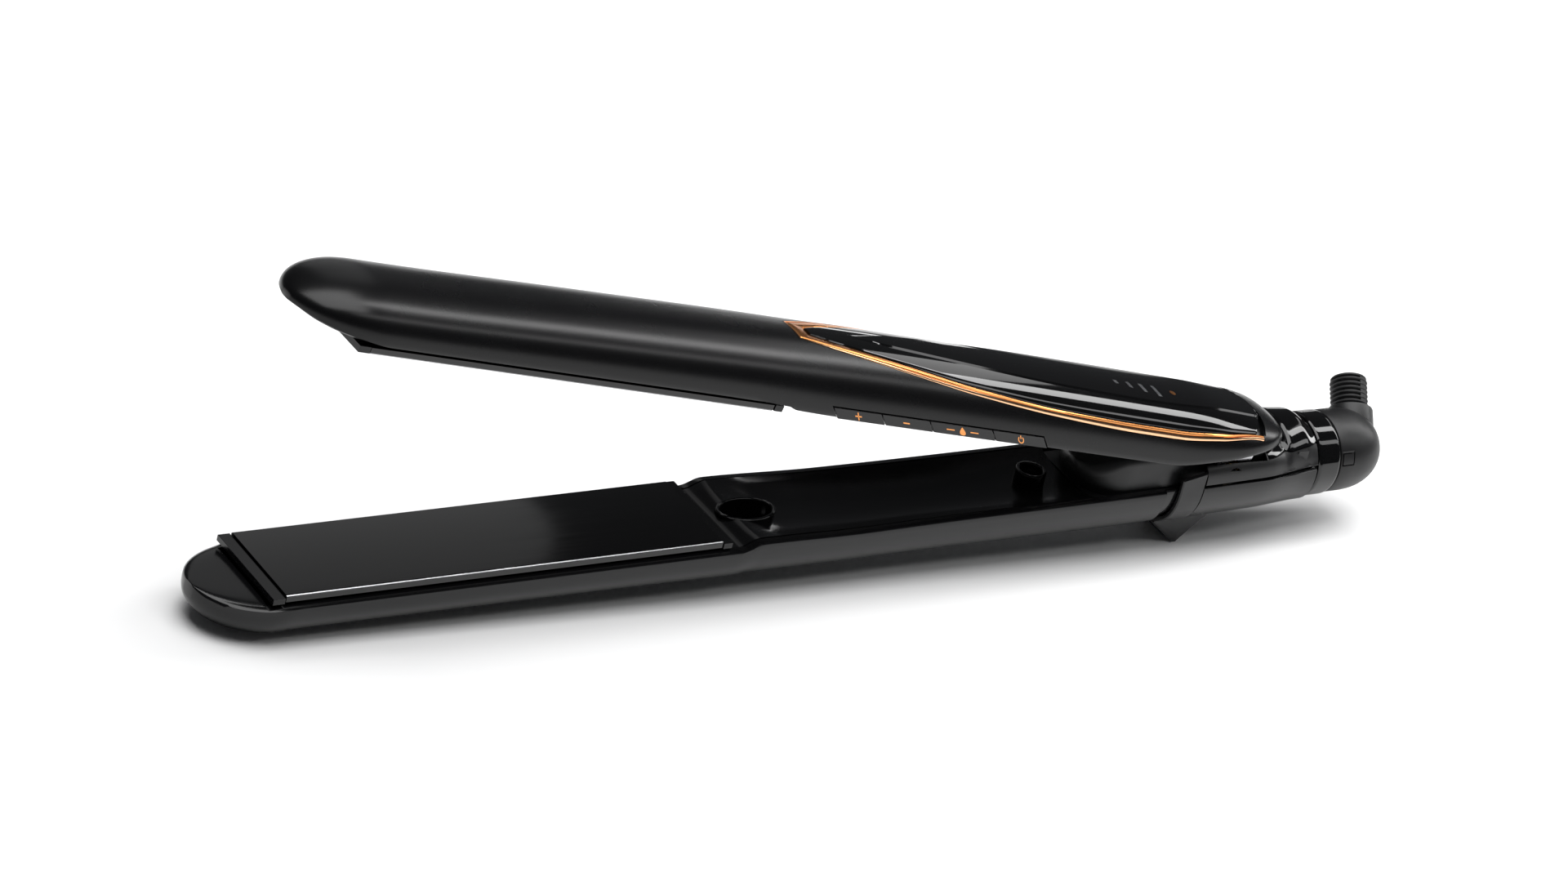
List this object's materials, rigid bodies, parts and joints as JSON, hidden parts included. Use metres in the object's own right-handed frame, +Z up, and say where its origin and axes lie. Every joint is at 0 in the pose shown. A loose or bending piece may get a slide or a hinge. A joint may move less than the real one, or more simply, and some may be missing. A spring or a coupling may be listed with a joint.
{
  "type": "hair straightener",
  "caption": "Hair straightener with sprung floating plate, side keys, gloss insert with copper trim, sliding lock with thumb fin, and swivelling cord exit.",
  "frame": {"origin": "centre of the bounding box on the surface the iron lies on, with the arms open", "axes": "+X along the iron from its tips towards the cord exit, +Y towards the far side from the keys, +Z up"},
  "size_m": [0.322, 0.0292, 0.0841],
  "materials": {
    "soft_touch_black": "soft-touch matte black moulding",
    "satin_black": "satin black moulding",
    "gloss_black": "mirror-gloss black moulding",
    "copper": "copper-coloured metallised trim",
    "plate_coating": "aluminium with a glossy black ceramic coating",
    "frame_plastic": "heat-resistant black moulding",
    "rubber_black": "matte black flexible rubber",
    "steel": "plain steel",
    "brass": "plain brass",
    "ceramic": null,
    "circuit_green": "green circuit board",
    "silicone": "red-brown silicone",
    "wire": "off-white wire insulation"
  },
  "bodies": {
    "lower_arm": {"lower_outer_shell": "satin_black", "lower_inner_cover": "gloss_black", "lower_plate_frame": "frame_plastic", "lower_plate": "plate_coating", "lower_heater": "ceramic", "lower_heater_clamp": "steel", "lower_thermal_fuse": "brass", "lower_lead_near": "wire", "lower_lead_far": "wire", "lower_cover_screw_front": "steel", "lower_cover_screw_rear": "steel", "hinge_housing": "satin_black", "rear_top_cover": "satin_black", "collar_ring": "gloss_black", "hinge_pin": "steel", "hinge_spring": "steel", "lock_detent_spring": "steel", "contact_brush_live": "brass", "contact_brush_neutral": "brass"},
    "upper_arm": {"upper_outer_shell": "soft_touch_black", "upper_inner_cover": "satin_black", "gloss_insert": "gloss_black", "copper_trim": "copper", "upper_plate_frame": "frame_plastic", "upper_lead_near": "wire", "upper_lead_far": "wire", "upper_cover_screw": "steel", "circuit_board": "circuit_green", "capacitor": "frame_plastic", "relay": "frame_plastic", "controller": "frame_plastic", "tact_switch_1": "steel", "tact_switch_2": "steel", "tact_switch_3": "steel", "tact_switch_4": "steel", "key_frame": "frame_plastic", "hinge_lug_near": "steel", "hinge_lug_far": "steel", "hinge_bush_near": "brass", "hinge_bush_far": "brass", "lock_catch": "steel", "float_pad_front": "silicone", "float_pad_rear": "silicone"},
    "floating_plate": {"upper_plate": "plate_coating", "upper_heater": "ceramic", "upper_heater_clamp": "steel"},
    "key_plus": {"key_plus": "satin_black"},
    "key_minus": {"key_minus": "satin_black"},
    "key_mode": {"key_mode": "satin_black"},
    "key_power": {"key_power": "satin_black"},
    "lock": {"lock_slider": "satin_black", "lock_fin": "satin_black"},
    "cord_swivel": {"swivel_core": "frame_plastic", "contact_ring_live": "brass", "contact_ring_neutral": "brass", "elbow_housing": "satin_black", "elbow_clip": "satin_black", "strain_relief": "rubber_black"}
  },
  "joints": [
    {"name": "arm_hinge", "type": "hinge", "parent": "lower_arm", "child": "upper_arm", "pos_m": [0.10716, -0.0004, 0.02152], "axis": [0, 1, 0], "range_deg": [-13.4, 0], "stiffness_Nm_per_rad": 0.5, "springref_deg": 45.84, "deforming": ["hinge_spring"]},
    {"name": "plate_float", "type": "slide", "parent": "upper_arm", "child": "floating_plate", "axis": [0.1992, 0, 0.98], "range_m": [0, 0.0005], "stiffness_N_per_m": 2000, "springref_m": -0.001, "deforming": ["float_pad_front", "float_pad_rear"]},
    {"name": "key_plus_press", "type": "slide", "parent": "upper_arm", "child": "key_plus", "axis": [0, 1, 0], "range_m": [0, 0.0004], "stiffness_N_per_m": 1500, "springref_m": -0.0005},
    {"name": "key_minus_press", "type": "slide", "parent": "upper_arm", "child": "key_minus", "axis": [0, 1, 0], "range_m": [0, 0.0004], "stiffness_N_per_m": 1500, "springref_m": -0.0005},
    {"name": "key_mode_press", "type": "slide", "parent": "upper_arm", "child": "key_mode", "axis": [0, 1, 0], "range_m": [0, 0.0004], "stiffness_N_per_m": 1500, "springref_m": -0.0005},
    {"name": "key_power_press", "type": "slide", "parent": "upper_arm", "child": "key_power", "axis": [0, 1, 0], "range_m": [0, 0.0004], "stiffness_N_per_m": 1500, "springref_m": -0.0005},
    {"name": "lock_slide", "type": "slide", "parent": "lower_arm", "child": "lock", "axis": [-0.9994, 0, -0.0333], "range_m": [0, 0.0035]},
    {"name": "cord_swivel_turn", "type": "hinge", "parent": "lower_arm", "child": "cord_swivel", "pos_m": [0.14179, -0.0004, 0.01827], "axis": [0.9994, 0, 0.0333], "continuous": true}
  ]
}
